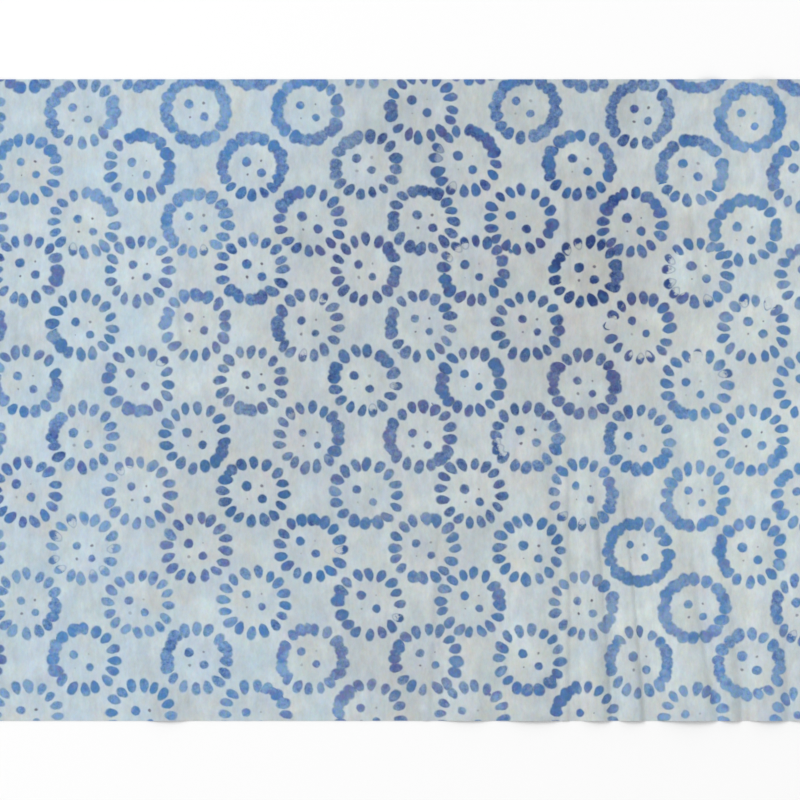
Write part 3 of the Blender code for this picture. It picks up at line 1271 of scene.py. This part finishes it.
# The mottling is the ground's own tone, and the long lumps add painted wrinkle shade
shade = (mottle[1] - 0.5) * MOTTLE_SHADE + (painted_wrinkle_streaks - 0.5) * STREAK_SHADE + 1
ground = scaled(Wire.vector("MULTIPLY", ground, tint), shade)
count_nodes("the ground")

# %% [markdown]
# ## Everything together
#
# The dye is laid over the ground, with the places where it is muted, its greyer rim and the thin
# dye that bled past the edge. Where petals have joined, the rim is only a narrow line, so that it
# doesn't draw every petal inside the band. Last come the pin dots. Cotton is matt, with a faint
# sheen from the fibres that stand up.

# %% The finished colour
WARM_CAST = (1.0, 0.77, 0.69, 1)
RIM_CAST = (1.07, 0.97, 0.84, 1)
DYE_GRAIN = (0.9, 0.65, 0.95)
PIN_COLOUR = srgb(92, 90, 104)
NARROW_RIM = (-0.5, -0.2)  # where a rim begins and is full, in millimetres from the edge
WIDE_RIM = (-1.0, -0.3)
RIM_END = (0.2, -0.3)
BLEED = (-0.1, 0.25)
MOST_BLED = 0.75
PIN_EDGE = 0.3
FAINTEST_PIN, PIN_LUCK = 0.35, 0.6

dye_colour = mix_colour(stored("muted_dye"), dye_colour, WARM_CAST, "MULTIPLY")
rim_line = mix(alone, ramp(edge, *NARROW_RIM), ramp(edge, *WIDE_RIM)) * ramp(edge, *RIM_END)
dye_colour = mix_colour(rim_line, dye_colour, RIM_CAST, "MULTIPLY")
dye_colour = mix_colour(ramp(edge, *BLEED) * MOST_BLED, dye_colour, BLED_DYE)
dye_tint = Wire.vector("MULTIPLY_ADD", grain, DYE_GRAIN, ONE)
dye_colour = Wire.vector("MULTIPLY", dye_colour, dye_tint)
colour = mix_colour(dyed, ground, dye_colour)
pin = (1 - ramp(pin_edge, -PIN_EDGE, PIN_EDGE)) * (FAINTEST_PIN + PIN_LUCK * ring_chance[1])
colour = mix_colour(pin, colour, PIN_COLOUR)
Wire.tree.links.new(colour.socket, shader.inputs["Base Color"])
shader.inputs["Roughness"].default_value = 0.9
shader.inputs["Specular IOR Level"].default_value = 0.2
shader.inputs["Sheen Weight"].default_value = 0.08
count_nodes("the finished colour")

# %% Threads and soft wrinkles, as a bump, in millimetres
THREAD_PITCH = 0.32
THREAD_HEIGHT = 0.012
WRINKLE_HEIGHT = 0.22
WRINKLE_LUMPS = 4.5
WRINKLES_LONG = (1, 0.22, 1)

turns = scaled(cloth_mm, math.tau / THREAD_PITCH)
warp, weft, _ = parts(Wire.vector("SINE", turns))
threads = warp * weft * THREAD_HEIGHT
long_wrinkles = Wire.vector("MULTIPLY", cloth_mm, WRINKLES_LONG)
wrinkles = cloudy(long_wrinkles, WRINKLE_LUMPS, 1.0) * WRINKLE_HEIGHT
height = threads + wrinkles
bump = Wire.node("ShaderNodeBump", None, {"Height": height, "Distance": MM})
Wire.tree.links.new(bump.socket, shader.inputs["Normal"])
cloth_mesh.materials.append(dyed_cotton)
print("the material has", len(Wire.tree.nodes), "nodes")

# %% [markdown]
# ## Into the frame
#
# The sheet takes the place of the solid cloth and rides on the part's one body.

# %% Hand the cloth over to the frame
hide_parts("cloth")
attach(cloth, "root")

# %% [markdown]
# ## Floor and light
#
# The table is a plain pale floor, far larger than the cloth. It is stage, not part of the object.
# The cloth lies on it. Even light from all round keeps the colours true, and one large lamp, high on
# the left, gives the low folds their faint shading. A small lamp would throw hard shadows.

# %% Floor
FLOOR_REACH = 3  # metres from the middle to each side

floor_mesh = bpy.data.meshes.new("floor")
floor_grid = bmesh.new()
bmesh.ops.create_grid(floor_grid, x_segments=1, y_segments=1, size=FLOOR_REACH)
floor_grid.to_mesh(floor_mesh)
floor_grid.free()
floor = bpy.data.objects.new("floor", floor_mesh)
bpy.context.collection.objects.link(floor)
floor_material = bpy.data.materials.new("pale_floor")
floor_material.use_nodes = True
floor_shader = floor_material.node_tree.nodes["Principled BSDF"]
floor_shader.inputs["Base Color"].default_value = (0.86, 0.86, 0.86, 1)
floor_shader.inputs["Roughness"].default_value = 0.8
floor_mesh.materials.append(floor_material)
print("the floor is", 2 * FLOOR_REACH, "metres across")

# %% Light
LIGHT_ALL_ROUND = 0.765
LAMP_PLACE = (-2.7, 1.7, 3.5)  # metres
LAMP_SIZE = 2.2
LAMP_WATTS = 120

world = bpy.data.worlds.new("studio")
world.use_nodes = True
world.node_tree.nodes["Background"].inputs["Color"].default_value = (1, 1, 1, 1)
world.node_tree.nodes["Background"].inputs["Strength"].default_value = LIGHT_ALL_ROUND
bpy.context.scene.world = world
bpy.context.scene.view_settings.view_transform = "Standard"

lamp_data = bpy.data.lights.new("soft_box", "AREA")
lamp_data.shape = "SQUARE"
lamp_data.size = LAMP_SIZE
lamp_data.energy = LAMP_WATTS
lamp = bpy.data.objects.new("soft_box", lamp_data)
lamp.location = LAMP_PLACE
lamp.rotation_euler = (-lamp.location).to_track_quat("-Z", "Y").to_euler()
bpy.context.collection.objects.link(lamp)
print("one lamp of", LAMP_WATTS, "watts")
